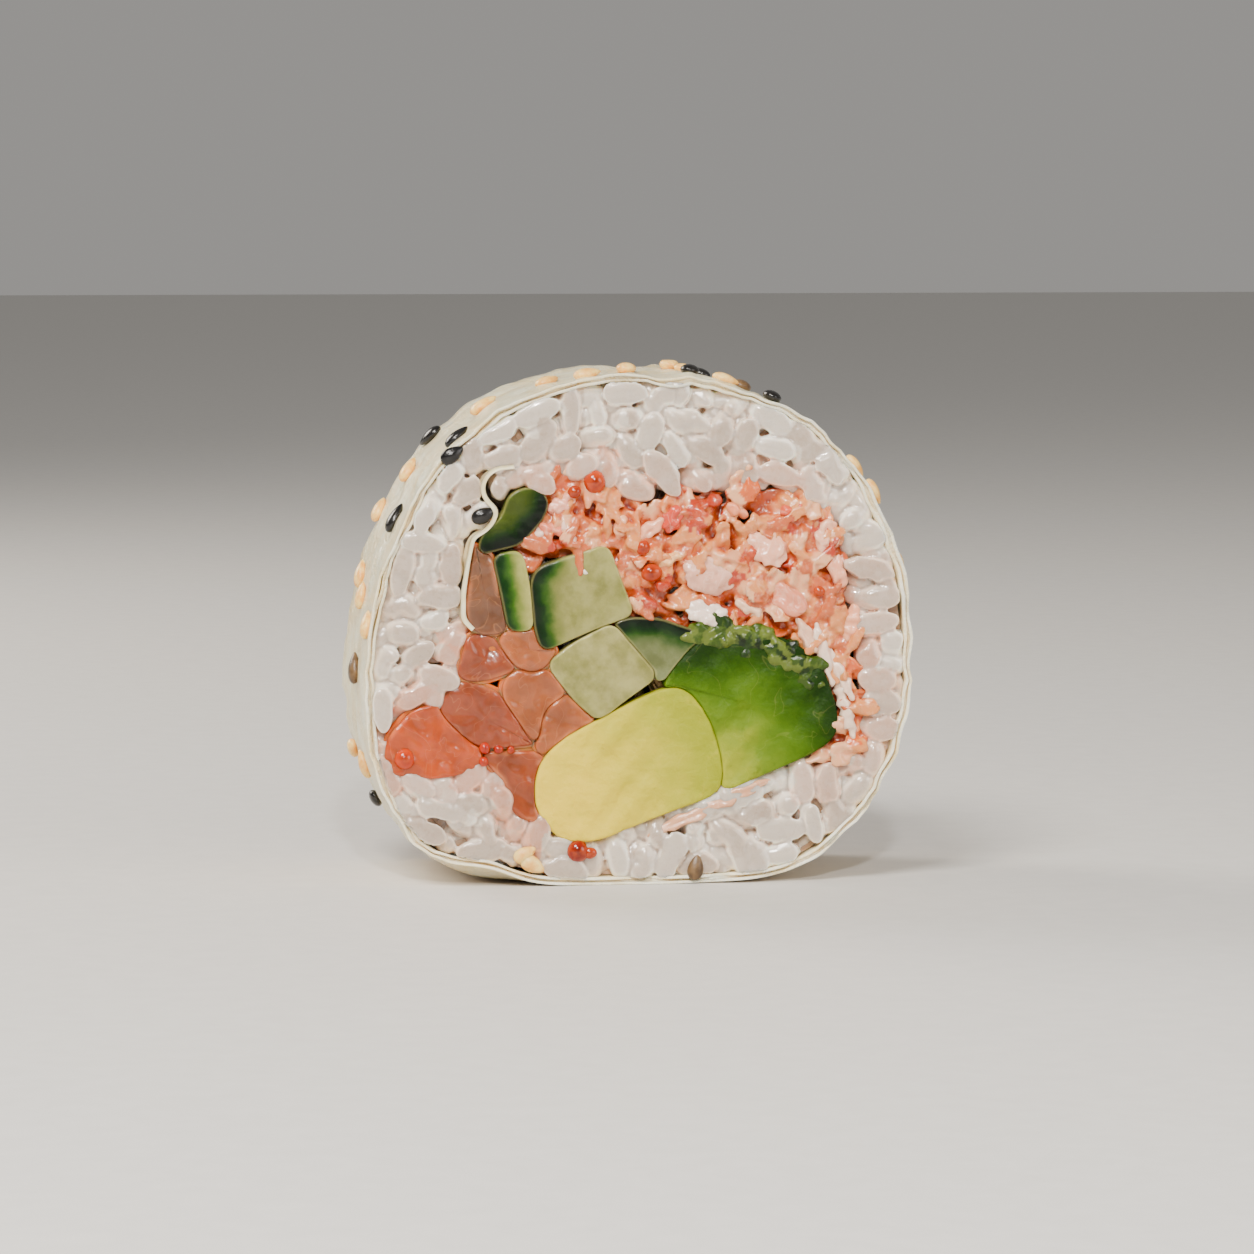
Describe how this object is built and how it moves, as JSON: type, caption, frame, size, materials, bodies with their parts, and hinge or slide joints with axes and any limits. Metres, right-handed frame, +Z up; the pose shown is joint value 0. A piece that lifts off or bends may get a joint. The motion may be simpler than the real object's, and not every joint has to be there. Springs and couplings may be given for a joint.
{
  "type": "soy paper maki slice",
  "caption": "Thick slice of a large sushi roll in pale soy paper with sesame seeds, its cut faces showing rice, crab salad, cucumber, avocado and salmon, standing on its flattened side.",
  "frame": {"origin": "under the middle of the slice, on the surface that its flattened side rests on", "axes": "+X to the right and +Z up as the shown cut face is seen, +Y along the roll from the shown cut face to the other"},
  "size_m": [0.0588, 0.026, 0.0536],
  "materials": {
    "soy_paper": "thin, slightly translucent ivory soy paper, damp and finely creased",
    "rice": "cooked white rice, translucent, with soft moist highlights",
    "inner_film": "curled end of the soy paper inside the roll",
    "crab": "shredded crab salad, pale pink and white flakes in orange sauce",
    "avocado_yellow": "ripe avocado flesh, creamy yellow",
    "avocado_green": "ripe avocado flesh near the skin, green, darker towards its edge",
    "cucumber": "wet cucumber flesh, translucent pale green, with a dark green skin side",
    "salmon": "raw salmon, translucent orange pink with pale membranes"
  },
  "bodies": {
    "root": {"wrapper": "soy_paper", "rice": "rice", "inner_film": "inner_film", "crab": "crab", "avocado_yellow": "avocado_yellow", "avocado_green": "avocado_green", "cucumber_1": "cucumber", "cucumber_2": "cucumber", "cucumber_3": "cucumber", "cucumber_4": "cucumber", "cucumber_5": "cucumber", "salmon_1": "salmon", "salmon_2": "salmon", "salmon_3": "salmon", "salmon_4": "salmon", "salmon_5": "salmon", "salmon_6": "salmon", "salmon_7": "salmon", "salmon_8": "salmon"}
  },
  "joints": []
}
